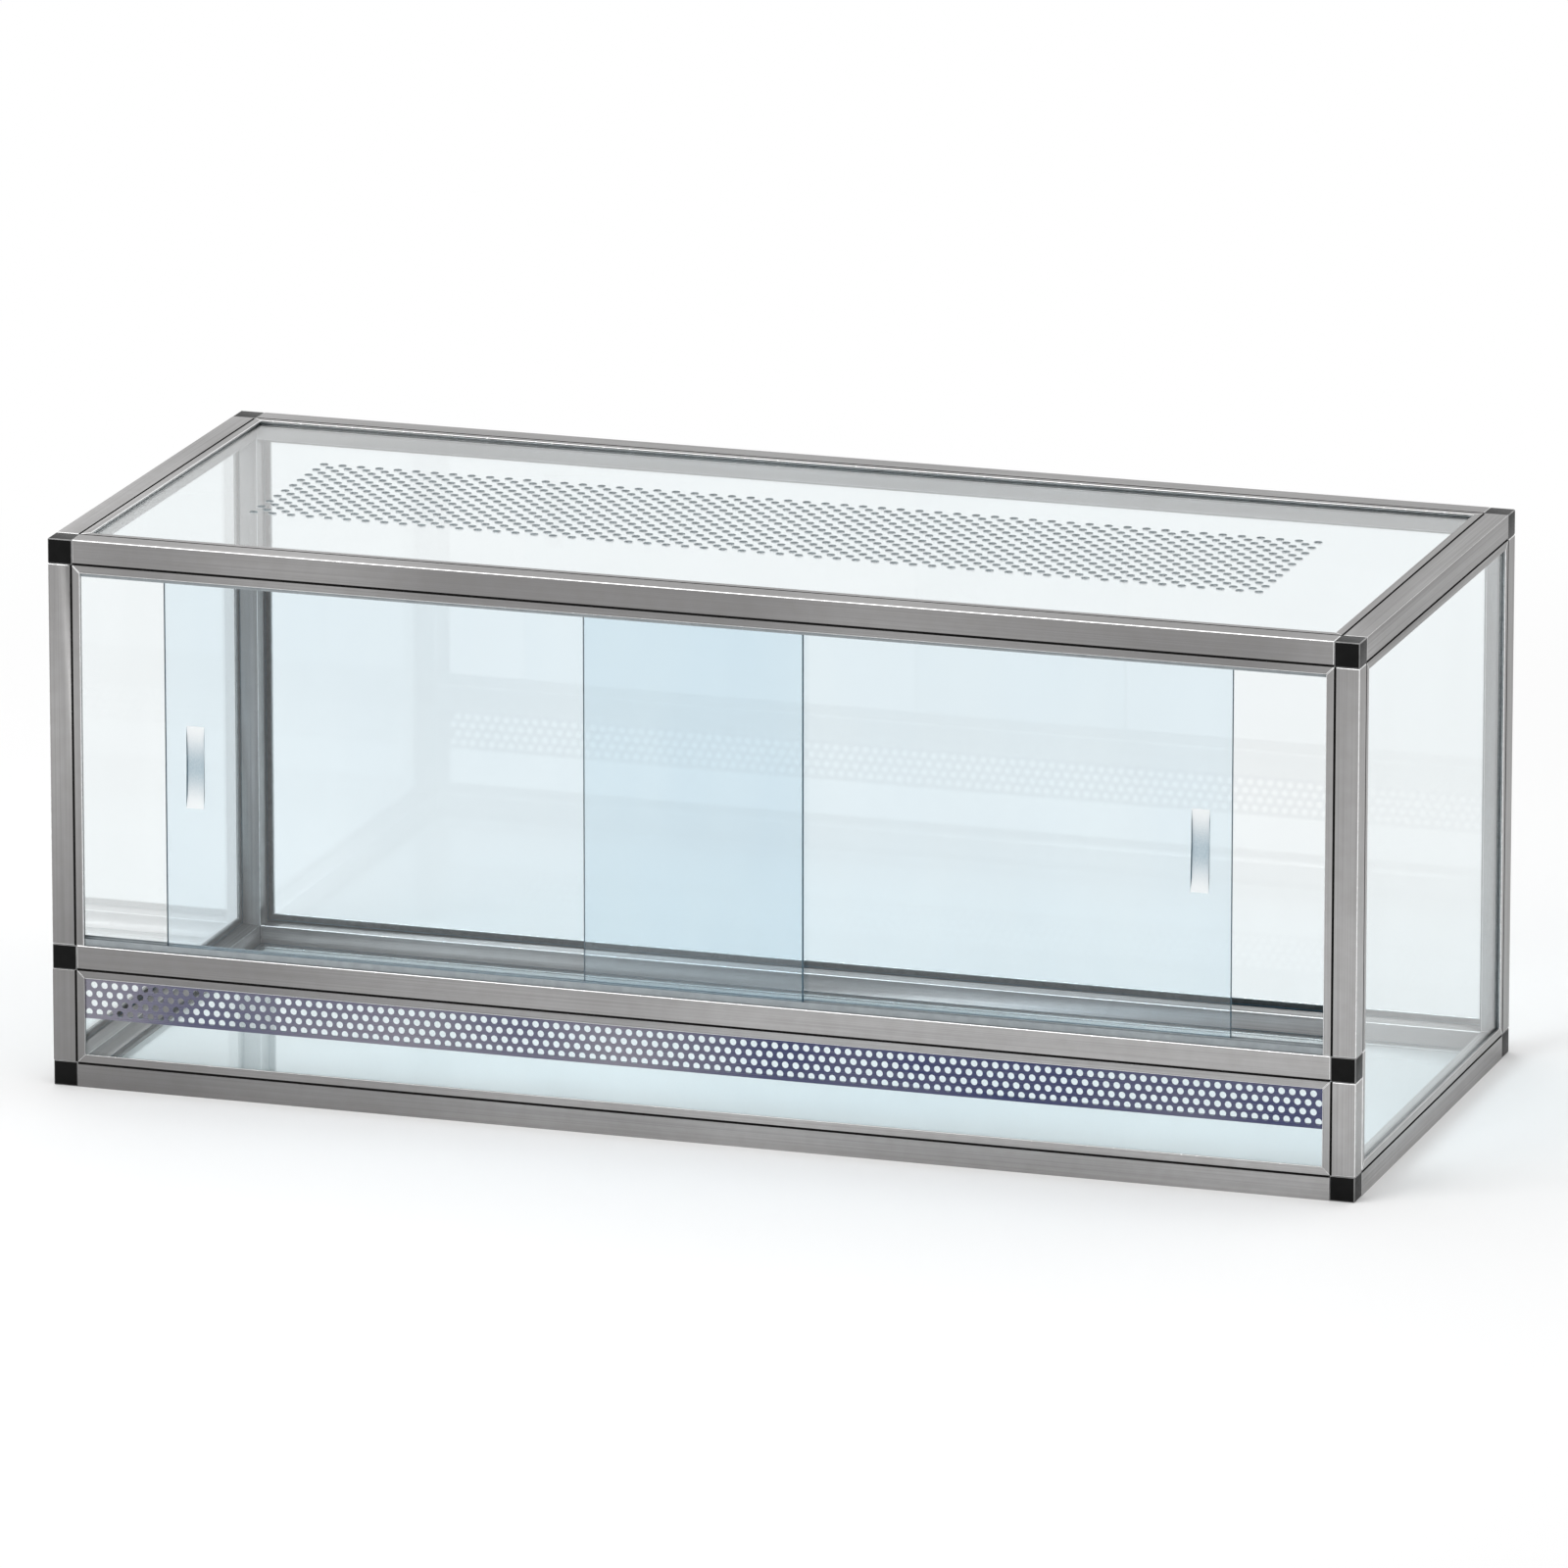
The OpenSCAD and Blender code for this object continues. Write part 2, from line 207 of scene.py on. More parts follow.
def painted_shade_groove():
    material, tree = new_material("groove_aluminium_painted_shade")
    dust = blotches(tree, GROOVE_DUST, 3.0, most=GROOVE_COVER)
    # Near black: painted shade on the groove's floor, with specks of dust.
    floor = add(tree, "ShaderNodeMix", {"Factor": dust, "A": "#0b0b0b", "B": "#2a2826"}, data_type="RGBA")
    shader = add(tree, "ShaderNodeBsdfPrincipled", {
        "Base Color": floor, "Roughness": 0.85, "Specular IOR Level": 0.15})
    add(tree, "ShaderNodeOutputMaterial", {"Surface": shader})
    return material


CORNER_HIGHLIGHT = painted_corner_highlight()
GROOVE_SHADE = painted_shade_groove()
print("edges and grooves:", CORNER_HIGHLIGHT.name, GROOVE_SHADE.name)

# %% [markdown]
# ## Moulded and extruded plastic
# The connectors are injection-moulded black polyamide: an even colour, a fine spark-eroded grain and a
# satin gloss. Their chamfered edges are painted grey, a painted highlight for the light the chamfers catch.
# The door tracks are grey extruded PVC with a slightly duller surface. The real grain is a tenth of a
# millimetre or finer, and is drawn at nearly a millimetre so that it shows.

# %% Plastics
MOULD_GRAIN, DIE_GRAIN = 0.9 * MM, 0.8 * MM
# The blotches are wear on the black connectors and the track, and vary the painted highlight on the
# chamfers.
RUB_AND_SHEEN_PATCH, RUB_AND_SHEEN_COVER = 9 * MM, 0.6


def plastic(name, base, worn_and_sheen, grain, roughness, gloss):
    """grain is the size of the surface's texture, and gloss the strength of its reflection."""
    material, tree = new_material(name)
    texture = blotches(tree, grain)
    rub_and_sheen_blotches = blotches(tree, RUB_AND_SHEEN_PATCH, 4.0, most=RUB_AND_SHEEN_COVER)
    colour = add(tree, "ShaderNodeMix", {"Factor": rub_and_sheen_blotches, "A": base, "B": worn_and_sheen}, data_type="RGBA")
    bump = add(tree, "ShaderNodeBump", {"Strength": 0.25, "Distance": 0.05 * MM, "Height": texture})
    satin = add(tree, "ShaderNodeMapRange", {
        "Value": texture, "To Min": roughness - 0.05, "To Max": roughness + 0.07})
    shader = add(tree, "ShaderNodeBsdfPrincipled", {
        "Base Color": colour, "Roughness": satin, "Normal": bump, "IOR": 1.5, "Specular IOR Level": gloss})
    add(tree, "ShaderNodeOutputMaterial", {"Surface": shader})
    return material


CONNECTOR = plastic("moulded_polyamide_black", "#050505", "#0e0e0e", MOULD_GRAIN, 0.36, 0.12)
# The chamfers' grey is a painted highlight.
CHAMFER_HIGHLIGHT = plastic("polyamide_chamfer_painted_highlight", "#6f6f6f", "#979797", MOULD_GRAIN, 0.30, 0.5)
TRACK = plastic("extruded_pvc_grey", "#9aa1a5", "#868d91", DIE_GRAIN, 0.42, 0.5)
print("plastics:", CONNECTOR.name, CHAMFER_HIGHLIGHT.name, TRACK.name)

# %% [markdown]
# ## Glazing silicone
# Cured silicone is grey and slightly glossy, and it was smoothed by hand, so its surface is softly uneven.

# %% Silicone
RIPPLE_LENGTH = 6 * MM


def silicone():
    material, tree = new_material("glazing_silicone_grey")
    ripple = blotches(tree, RIPPLE_LENGTH)
    colour = add(tree, "ShaderNodeMix", {"Factor": ripple, "A": "#6d7072", "B": "#7f8385"}, data_type="RGBA")
    bump = add(tree, "ShaderNodeBump", {"Strength": 0.3, "Distance": 0.2 * MM, "Height": ripple})
    shader = add(tree, "ShaderNodeBsdfPrincipled", {
        "Base Color": colour, "Roughness": 0.38, "Normal": bump, "IOR": 1.41})
    add(tree, "ShaderNodeOutputMaterial", {"Surface": shader})
    return material


SILICONE = silicone()
print("seal:", SILICONE.name)

# %% [markdown]
# ## Float glass
# Float glass is clear with a cool tint, and wiped glass keeps faint smears, drawn here as a slow change of
# tint. Light from the lamps has to pass it, so for shadow rays the glass gives way to a tinted
# transparent shader, which keeps the inside of the box lit without noise.

# %% Clear glass
GLASS_IOR = 1.52
SMEAR_SIZE, SMEAR_DRAW = 0.11, (1.0, 1.0, 0.35)


def float_glass(name, tint, smear):
    material, tree = new_material(name)
    wiped = blotches(tree, SMEAR_SIZE, 3.0, SMEAR_DRAW)
    colour = add(tree, "ShaderNodeMix", {"Factor": wiped, "A": tint, "B": smear}, data_type="RGBA")
    glass = add(tree, "ShaderNodeBsdfPrincipled", {
        "Base Color": colour, "Transmission Weight": 1.0, "IOR": GLASS_IOR, "Roughness": 0.0})
    lamp_light = add(tree, "ShaderNodeBsdfTransparent", {"Color": tint})
    is_shadow = add(tree, "ShaderNodeLightPath").outputs["Is Shadow Ray"]
    shader = add(tree, "ShaderNodeMixShader", {0: is_shadow, 1: glass, 2: lamp_light})
    add(tree, "ShaderNodeOutputMaterial", {"Surface": shader})
    return material


PANE_GLASS = float_glass("float_glass_fixed", "#f6fafb", "#f4f8f9")
DOOR_GLASS = float_glass("float_glass_door", "#eef6fa", "#ebf4f9")
print("clear glass:", PANE_GLASS.name, DOOR_GLASS.name)

# %% [markdown]
# ## Ground glass
# Cut edges are ground. They scatter light that has run a long way inside the sheet, so they look dark and
# blue green. A drill leaves the wall of an air hole pale grey. The hollow of a finger pull is ground deepest
# at mid height, and its colour is painted darkest there, painted shade, fading to white towards its ends.
# The grinding marks are drawn a millimetre or more wide, far coarser than real ones, so that they show.

# %% Ground edges and drilled holes
EDGE_SCUFF = 1.6 * MM


def ground_glass(name, deep, pale, clear_share):
    """clear_share is the part of the light that goes through. The rest scatters at the surface."""
    material, tree = new_material(name)
    scuffs = blotches(tree, EDGE_SCUFF, 3.0)
    colour = add(tree, "ShaderNodeMix", {"Factor": scuffs, "A": deep, "B": pale}, data_type="RGBA")
    bump = add(tree, "ShaderNodeBump", {"Strength": 0.2, "Distance": 0.1 * MM, "Height": scuffs})
    matt = add(tree, "ShaderNodeMapRange", {"Value": scuffs, "To Min": 0.27, "To Max": 0.43})
    shader = add(tree, "ShaderNodeBsdfPrincipled", {
        "Base Color": colour, "Transmission Weight": clear_share, "IOR": GLASS_IOR, "Roughness": matt,
        "Normal": bump})
    add(tree, "ShaderNodeOutputMaterial", {"Surface": shader})
    return material


GLASS_EDGE = ground_glass("ground_glass_edge", "#12394c", "#28576c", 0.1)
HOLE_EDGE = ground_glass("drilled_glass_edge", "#a3abae", "#bec5c8", 0.15)
print("ground glass:", GLASS_EDGE.name, HOLE_EDGE.name)

# %% Finger pull
PULL_HEIGHT = 75 * MM
PULL_SCUFF, SPECK_COVER = 1.2 * MM, 0.2
door_lo, door_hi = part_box("door_left")
PULL_CENTRE = (door_lo.z + door_hi.z) / 2


def finger_pull(deep, shallow):
    material, tree = new_material("ground_finger_pull")
    place = add(tree, "ShaderNodeTexCoord").outputs["Object"]
    height = add(tree, "ShaderNodeSeparateXYZ", {0: place}).outputs["Z"]
    above = add(tree, "ShaderNodeMath", {0: height, 1: PULL_CENTRE}, operation="SUBTRACT")
    off_centre = add(tree, "ShaderNodeMath", {0: above}, operation="ABSOLUTE")
    shade_fade = add(tree, "ShaderNodeMapRange", {
        "Value": off_centre, "From Max": PULL_HEIGHT / 2}, interpolation_type="SMOOTHSTEP")
    scuffs = blotches(tree, PULL_SCUFF, 3.0)
    specks = blotches(tree, PULL_SCUFF, 3.0, most=SPECK_COVER)
    # Painted shade: darkest at mid height of the hollow, white towards its ends.
    hollow = add(tree, "ShaderNodeMix", {"Factor": shade_fade, "A": deep, "B": shallow}, data_type="RGBA")
    colour = add(tree, "ShaderNodeMix", {"Factor": specks, "A": hollow, "B": "#ffffff"}, data_type="RGBA")
    bump = add(tree, "ShaderNodeBump", {"Strength": 0.2, "Distance": 0.1 * MM, "Height": scuffs})
    shader = add(tree, "ShaderNodeBsdfPrincipled", {
        "Base Color": colour, "Transmission Weight": 0.2, "IOR": GLASS_IOR, "Roughness": 0.4,
        "Normal": bump})
    add(tree, "ShaderNodeOutputMaterial", {"Surface": shader})
    return material


FINGER_PULL = finger_pull("#a9bec9", "#f8fbfc")
print("finger pull:", FINGER_PULL.name, "centred at", round(PULL_CENTRE / MM, 1), "mm")

# %% [markdown]
# ## Rolled sheet
# The vent strip is rolled aluminium. Its colour is painted reflections of the shiny sheet, which drift at
# random between a lilac grey and a deeper blue grey. The rolls leave fine lines along the sheet, which also
# make its gloss uneven. Like the lines of the frame, they are drawn nearly a millimetre wide so that they
# show.

# %% Rolled sheet
REFLECTION_DRIFT = 0.22
ROLLING_WIDTH = 0.8 * MM
ROLLING_DRAW = (0.01, 1.0, 1.0)


def rolled_sheet():
    material, tree = new_material("aluminium_sheet_painted_reflection")
    drift = blotches(tree, REFLECTION_DRIFT, 1.0)
    rolling = blotches(tree, ROLLING_WIDTH, 2.0, ROLLING_DRAW)
    faint_rolling = blotches(tree, ROLLING_WIDTH, 2.0, ROLLING_DRAW, FAINT)
    # Lilac grey to blue grey: painted reflections, drifting at random along the sheet.
    painted_reflection = add(tree, "ShaderNodeMix", {"Factor": drift, "A": "#85838f", "B": "#3c4266"}, data_type="RGBA")
    metal = add(tree, "ShaderNodeMix", {
        "Factor": faint_rolling, "A": painted_reflection, "B": "#8a8890"}, data_type="RGBA")
    gloss = add(tree, "ShaderNodeMapRange", {"Value": rolling, "To Min": 0.24, "To Max": 0.36})
    shader = add(tree, "ShaderNodeBsdfPrincipled", {
        "Base Color": metal, "Metallic": 0.9, "Roughness": gloss})
    add(tree, "ShaderNodeOutputMaterial", {"Surface": shader})
    return material


SHEET_METAL = rolled_sheet()
print("sheet:", SHEET_METAL.name, "with a tone that drifts over about", round(REFLECTION_DRIFT / MM), "mm")

# %% [markdown]
# ## Softened edges
# No real edge is perfectly sharp, and the thin bright line that runs along an edge is what tells the eye
# that it is metal or plastic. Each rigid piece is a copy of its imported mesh. Its loose triangles are
# merged into clean flat faces, and a Bevel modifier rounds the edges by a fraction of a millimetre.

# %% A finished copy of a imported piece
MERGE = 0.002 * MM
FLAT_ANGLE = math.radians(1)
EDGE_ANGLE = math.radians(30)


def clean_copy(node):
    """The node's mesh with its doubled points merged and its flat faces joined."""
    mesh = frame["nodes"][node].data.copy()
    mesh.materials.clear()
    work = bmesh.new()
    work.from_mesh(mesh)
    bmesh.ops.remove_doubles(work, verts=work.verts[:], dist=MERGE)
    bmesh.ops.dissolve_limit(work, angle_limit=FLAT_ANGLE, verts=work.verts[:], edges=work.edges[:])
    work.to_mesh(mesh)
    work.free()
    return mesh


def place_piece(name, mesh, node, materials):
    """Makes an object that stands for the node and rides on its body."""
    piece = bpy.data.objects.new(name, mesh)
    bpy.context.scene.collection.objects.link(piece)
    for material in materials:
        mesh.materials.append(material)
    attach(piece, frame["nodes"][node]["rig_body"])
    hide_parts(node)
    return piece


def soften(piece, width, smooth=True):
    """Rounds the piece's sharp edges. Glass gets one flat facet, because its edge is ground flat."""
    bevel = piece.modifiers.new("edge", "BEVEL")
    bevel.width = width
    bevel.segments = 2 if smooth else 1
    bevel.limit_method = "ANGLE"
    bevel.angle_limit = EDGE_ANGLE
    bevel.harden_normals = smooth
    for face in piece.data.polygons:
        face.use_smooth = smooth
    return bevel


# %% [markdown]
# ## Frame profiles
# Each tube's lines run along its own length, so its longest side picks the material. Faces that lie just
# under an outer plane belong to the groove. Only outward corners away from the groove are rounded, since
# a groove is cut by the die and keeps its crisp edges.

# %% Which faces and edges get what
GROOVE_TOP, GROOVE_DEPTH = 0.2 * MM, 0.9 * MM
DEPTH_SLACK = 0.05 * MM


def in_groove(centre):
    """True for a point under one of the box's six outer planes by up to the groove's depth."""
    depths = [centre[i] - cad_lo[i] for i in range(3)] + [cad_hi[i] - centre[i] for i in range(3)]
    return any(GROOVE_TOP < depth < GROOVE_DEPTH + DEPTH_SLACK for depth in depths)


def weigh_corners(mesh):
    """Gives the outward corners outside the groove a bevel weight and keeps all others sharp."""
    work = bmesh.new()
    work.from_mesh(mesh)
    weight = work.edges.layers.float.new("bevel_weight_edge")
    rounded = 0
    for edge in work.edges:
        if len(edge.link_faces) != 2 or edge.calc_face_angle() < EDGE_ANGLE:
            continue
        if edge.is_convex and all(face.material_index == 0 for face in edge.link_faces):
            edge[weight] = 1.0
            rounded += 1
        else:
            edge.smooth = False
    work.to_mesh(mesh)
    work.free()
    return rounded


# %% Profiles
CORNER_RADIUS = 0.7 * MM

for node in sorted(n for n in frame["nodes"] if n.startswith(("rail_", "post_"))):
    lo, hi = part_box(node)
    axis = max(AXES, key=lambda name: (hi - lo)[AXES[name]])
    mesh = clean_copy(node)
    for face in mesh.polygons:
        face.material_index = 1 if in_groove(face.center) else 0
    rounded = weigh_corners(mesh)
    piece = place_piece("finished_" + node, mesh, node, [ALUMINIUM[axis], GROOVE_SHADE, CORNER_HIGHLIGHT])
    bevel = soften(piece, CORNER_RADIUS)
    bevel.limit_method = "WEIGHT"
    # The rounding's new faces get the third material, the painted highlight.
    bevel.material = 2
    print(node, "runs along", axis, "with", rounded, "rounded corners")

# %% [markdown]
# ## Connectors, tracks and seals
# A connector's slanted faces are its chamfers, which get the grey painted highlight. The seals are soft
# strips squeezed flat between metal and glass, so their imported shape is right and only needs its material.

# %% Connectors, tracks and seals
SLANTED = 0.85
CONNECTOR_EDGE, TRACK_EDGE = 0.15 * MM, 0.2 * MM

for node in sorted(n for n in frame["nodes"] if n.startswith(("corner_", "tee_"))):
    mesh = clean_copy(node)
    for face in mesh.polygons:
        face.material_index = 1 if max(abs(n) for n in face.normal) < SLANTED else 0
    soften(place_piece("moulded_" + node, mesh, node, [CONNECTOR, CHAMFER_HIGHLIGHT]), CONNECTOR_EDGE)

for node in ("track_lower", "track_upper"):
    soften(place_piece("extruded_" + node, clean_copy(node), node, [TRACK]), TRACK_EDGE)

seal_slots = [slot for node in frame["nodes"] if node.startswith("seal_")
              for slot in frame["nodes"][node].material_slots]
for slot in seal_slots:
    slot.material = SILICONE
print("connectors and tracks finished,", len(seal_slots), "slots of the seals filled")

# %% [markdown]
# ## Plain panes
# A pane is clear on its two large faces and ground on its narrow ones. The large faces are the ones that
# look along the pane's thinnest direction. A glazier breaks the sharp edges with a narrow facet, the
# arris, which is ground too, so its new faces get the second material.

# %% Plain panes
ARRIS = 0.4 * MM
SQUARE_ON = 0.9

for node in ("pane_left", "pane_right", "pane_rear", "pane_bottom", "pane_front_lower"):
    lo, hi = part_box(node)
    thin = min(range(3), key=lambda i: hi[i] - lo[i])
    mesh = clean_copy(node)
    for face in mesh.polygons:
        face.material_index = 0 if abs(face.normal[thin]) > SQUARE_ON else 1
    soften(place_piece("glazed_" + node, mesh, node, [PANE_GLASS, GLASS_EDGE]), ARRIS, False).material = 1
    print(node, "is", round((hi[thin] - lo[thin]) / MM, 1), "mm thick")

# %% [markdown]
# ## Sliding doors
# The doors are the same glass with a shallow finger pull near the outer edge. Their upright edges show,
# so they get the ground finish, and so do the two upright walls of the pull. Hands touch these edges, so
# their arris is wider than a pane's.

# %% Doors
DOOR_ARRIS = 0.8 * MM
EDGE_ZONE, SURFACE_SLACK = 1 * MM, 0.02 * MM


def door_part(face, lo, hi):
    """0 for the clear faces, 1 for edges and the pull's walls, and 2 for the pull's hollow."""
    inset = min(face.center.x - lo.x, hi.x - face.center.x, face.center.z - lo.z, hi.z - face.center.z)
    if inset < EDGE_ZONE:
        return 1
    if min(face.center.y - lo.y, hi.y - face.center.y) < SURFACE_SLACK:
        return 0
    return 1 if abs(face.normal.x) > SQUARE_ON else 2


for node in ("door_left", "door_right"):
    lo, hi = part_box(node)
    mesh = clean_copy(node)
    for face in mesh.polygons:
        face.material_index = door_part(face, lo, hi)
    piece = place_piece("glazed_" + node, mesh, node, [DOOR_GLASS, GLASS_EDGE, FINGER_PULL])
    soften(piece, DOOR_ARRIS, False).material = 1
    counts = [sum(face.material_index == i for face in mesh.polygons) for i in range(3)]
    print(node, "clear, edge and pull faces:", counts)

# %% [markdown]
# ## Drilled and punched sheets
# The top pane and the vent strip are sheets with hundreds of round holes in staggered rows. Geometry Nodes
# set out a grid of points, move every second row along by half a pitch, and put a circle on each point.
# Filling between the circles and the sheet's outline gives a flat sheet with holes, and extruding it
# gives the thickness and the holes' walls. The same tree makes both sheets with other sizes.

# %% Inputs of the tree
HOLE_SIDES = 20
SIZES = ["Length", "Width", "Thickness", "Pitch along", "Pitch across", "Hole", "Band offset"]
COUNTS = ["Columns", "Rows"]
FINISHES = ["Face finish", "Wall finish"]


def sheet_inputs(tree):
    kinds = [(SIZES, "NodeSocketFloat"), (COUNTS, "NodeSocketInt"), (FINISHES, "NodeSocketMaterial")]
    tree.interface.new_socket("Geometry", in_out="OUTPUT", socket_type="NodeSocketGeometry")
    for names, kind in kinds:
        for name in names:
            tree.interface.new_socket(name, in_out="INPUT", socket_type=kind)
    return add(tree, "NodeGroupInput").outputs


# %% Points of the holes
def hole_points(tree, given):
    """The staggered points, and which of them get a hole. An odd row has one hole fewer."""
    steps = add(tree, "ShaderNodeMath", {0: given["Columns"], 1: 1.0}, operation="SUBTRACT")
    rises = add(tree, "ShaderNodeMath", {0: given["Rows"], 1: 1.0}, operation="SUBTRACT")
    length = add(tree, "ShaderNodeMath", {0: steps, 1: given["Pitch along"]}, operation="MULTIPLY")
    height = add(tree, "ShaderNodeMath", {0: rises, 1: given["Pitch across"]}, operation="MULTIPLY")
    grid = add(tree, "GeometryNodeMeshGrid", {
        "Size X": length, "Size Y": height, "Vertices X": given["Columns"], "Vertices Y": given["Rows"]})
    index = add(tree, "GeometryNodeInputIndex")
    row = add(tree, "ShaderNodeMath", {0: index, 1: given["Rows"]}, operation="MODULO")
    odd = add(tree, "ShaderNodeMath", {0: row, 1: 2.0}, operation="MODULO")
    half_pitch = add(tree, "ShaderNodeMath", {0: given["Pitch along"], 1: 0.5}, operation="MULTIPLY")
    shift = add(tree, "ShaderNodeMath", {0: odd, 1: half_pitch}, operation="MULTIPLY")
    offset = add(tree, "ShaderNodeCombineXYZ", {0: shift, 1: given["Band offset"]})
    points = add(tree, "GeometryNodeSetPosition", {"Geometry": grid.outputs["Mesh"], "Offset": offset})
    x = add(tree, "ShaderNodeSeparateXYZ", {0: add(tree, "GeometryNodeInputPosition")}).outputs["X"]
    quarter = add(tree, "ShaderNodeMath", {0: half_pitch, 1: 0.5}, operation="MULTIPLY")
    end = add(tree, "ShaderNodeMath", {0: length, 1: 0.5, 2: quarter}, operation="MULTIPLY_ADD")
    drilled = add(tree, "ShaderNodeMath", {0: x, 1: end}, operation="LESS_THAN")
    return points, drilled


# %% The sheet
def perforated_sheet_tree():
    tree = bpy.data.node_groups.new("Perforated sheet", "GeometryNodeTree")
    given = sheet_inputs(tree)
    points, drilled = hole_points(tree, given)
    radius = add(tree, "ShaderNodeMath", {0: given["Hole"], 1: 0.5}, operation="MULTIPLY")
    circle = add(tree, "GeometryNodeCurvePrimitiveCircle", {"Resolution": HOLE_SIDES, "Radius": radius})
    holes = add(tree, "GeometryNodeInstanceOnPoints", {
        "Points": points, "Selection": drilled, "Instance": circle})
    outline = add(tree, "GeometryNodeCurvePrimitiveQuadrilateral", {
        "Width": given["Length"], "Height": given["Width"]})
    curves = add(tree, "GeometryNodeJoinGeometry", {0: outline})
    tree.links.new(add(tree, "GeometryNodeRealizeInstances", {0: holes}).outputs[0], curves.inputs[0])
    flat = add(tree, "GeometryNodeFillCurve", {0: curves})
    raised = add(tree, "GeometryNodeExtrudeMesh", {
        "Mesh": flat, "Offset Scale": given["Thickness"], "Individual": False})
    both = add(tree, "GeometryNodeJoinGeometry", {0: add(tree, "GeometryNodeFlipFaces", {0: flat})})
    tree.links.new(raised.outputs["Mesh"], both.inputs[0])
    closed = add(tree, "GeometryNodeMergeByDistance", {"Geometry": both, "Distance": MERGE})
    solid = add(tree, "GeometryNodeRealizeInstances", {0: closed})
    faced = add(tree, "GeometryNodeSetMaterial", {"Geometry": solid, "Material": given["Face finish"]})
    tilt = add(tree, "ShaderNodeSeparateXYZ", {0: add(tree, "GeometryNodeInputNormal")}).outputs["Z"]
    wall = add(tree, "ShaderNodeMath", {0: tilt, 1: 0.0, 2: 0.5}, operation="COMPARE")
    walled = add(tree, "GeometryNodeSetMaterial", {
        "Geometry": faced, "Selection": wall, "Material": given["Wall finish"]})
    add(tree, "NodeGroupOutput", {0: walled})
    return tree


SHEET_TREE = perforated_sheet_tree()
print("tree:", SHEET_TREE.name, "with", len(SHEET_TREE.nodes), "nodes")

# %% A plain mesh from the tree
def perforated_mesh(name, values):
    """Runs the tree with these values and returns its result as a plain mesh, lying flat on z = 0."""
    holder = bpy.data.objects.new(name, bpy.data.meshes.new(name))
    bpy.context.scene.collection.objects.link(holder)
    modifier = holder.modifiers.new("holes", "NODES")
    modifier.node_group = SHEET_TREE
    for item in SHEET_TREE.interface.items_tree:
        if item.in_out == "INPUT":
            modifier[item.identifier] = values[item.name]
    graph = bpy.context.evaluated_depsgraph_get()
    mesh = bpy.data.meshes.new_from_object(holder.evaluated_get(graph))
    holder.modifiers.remove(modifier)
    bpy.data.objects.remove(holder)
    # Joining leaves an empty first slot, which no face uses.
    if mesh.materials[0] is None:
        mesh.materials.pop(index=0)
    return mesh


# %% [markdown]
# ## Top pane
# The air holes lie in a broad band along the middle. Seen from a low angle the eye meets the far wall of
# each hole, which the drill has left pale and matt, and that is why the holes look like grey ovals.

# %% Top pane
TOP_PITCH_X, TOP_PITCH_Y, TOP_HOLE = 17.5 * MM, 10.3 * MM, 7.5 * MM
TOP_COLUMNS, TOP_ROWS = 54, 19

lo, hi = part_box("pane_top")
mesh = perforated_mesh("top", {
    "Length": hi.x - lo.x, "Width": hi.y - lo.y, "Thickness": hi.z - lo.z, "Pitch along": TOP_PITCH_X,
    "Pitch across": TOP_PITCH_Y, "Hole": TOP_HOLE, "Band offset": 0.0, "Columns": TOP_COLUMNS,
    "Rows": TOP_ROWS, "Face finish": PANE_GLASS, "Wall finish": HOLE_EDGE})
mesh.transform(Matrix.Translation((0, 0, lo.z)))
place_piece("drilled_pane_top", mesh, "pane_top", [])
print("top pane:", len(mesh.polygons), "faces,", len(mesh.materials), "materials")

# %% [markdown]
# ## Vent strip
# Four rows of punched holes in a triangular pattern, where each hole has six neighbours at one distance.
# The strip is made flat like the pane, then stood up with its face to the front.

# %% Vent strip
VENT_PITCH, VENT_HOLE, VENT_LAP = 9.6 * MM, 6.2 * MM, 3 * MM
VENT_COLUMNS, VENT_ROWS = 119, 4
VENT_ROW_HEIGHT = VENT_PITCH * math.sqrt(3) / 2

lo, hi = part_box("vent_strip")
strip_middle = (lo.z + hi.z) / 2
band_middle = lo.z + VENT_LAP + VENT_HOLE / 2 + (VENT_ROWS - 1) / 2 * VENT_ROW_HEIGHT
mesh = perforated_mesh("strip", {
    "Length": hi.x - lo.x, "Width": hi.z - lo.z, "Thickness": hi.y - lo.y, "Pitch along": VENT_PITCH,
    "Pitch across": VENT_ROW_HEIGHT, "Hole": VENT_HOLE, "Band offset": band_middle - strip_middle,
    "Columns": VENT_COLUMNS, "Rows": VENT_ROWS, "Face finish": SHEET_METAL, "Wall finish": SHEET_METAL})
stand_up = Matrix.Rotation(math.radians(90), 4, "X")
mesh.transform(Matrix.Translation((0, hi.y, strip_middle)) @ stand_up)
place_piece("punched_vent_strip", mesh, "vent_strip", [])
print("vent strip:", len(mesh.polygons), "faces")

# %% [markdown]
# ## Floor and light
# The object stands on a pale floor that takes its soft shadow. Further out the floor turns into the same
# plain white as the background. Rays from the camera see that white at a strength of 1, and so do rays that
# metal or glass sends on. The light that falls on the object has a level of its own, at which a colour
# looks about as it is written. The softbox above is broad, so that the panes mirror it as a faint veil and
# not as a white patch.

# %% Which rays see the background
def sees_background(tree):
    """1 for rays from the camera and for those that metal or glass sends on, and 0 for other light."""
    path = add(tree, "ShaderNodeLightPath").outputs
    sent_on = add(tree, "ShaderNodeMath", {
        0: path["Is Glossy Ray"], 1: path["Is Transmission Ray"]}, operation="MAXIMUM")
    return add(tree, "ShaderNodeMath", {0: path["Is Camera Ray"], 1: sent_on}, operation="MAXIMUM")


# %% Floor
FLOOR_HALF = 30.0
FADE_START, FADE_END = 0.9, 2.2


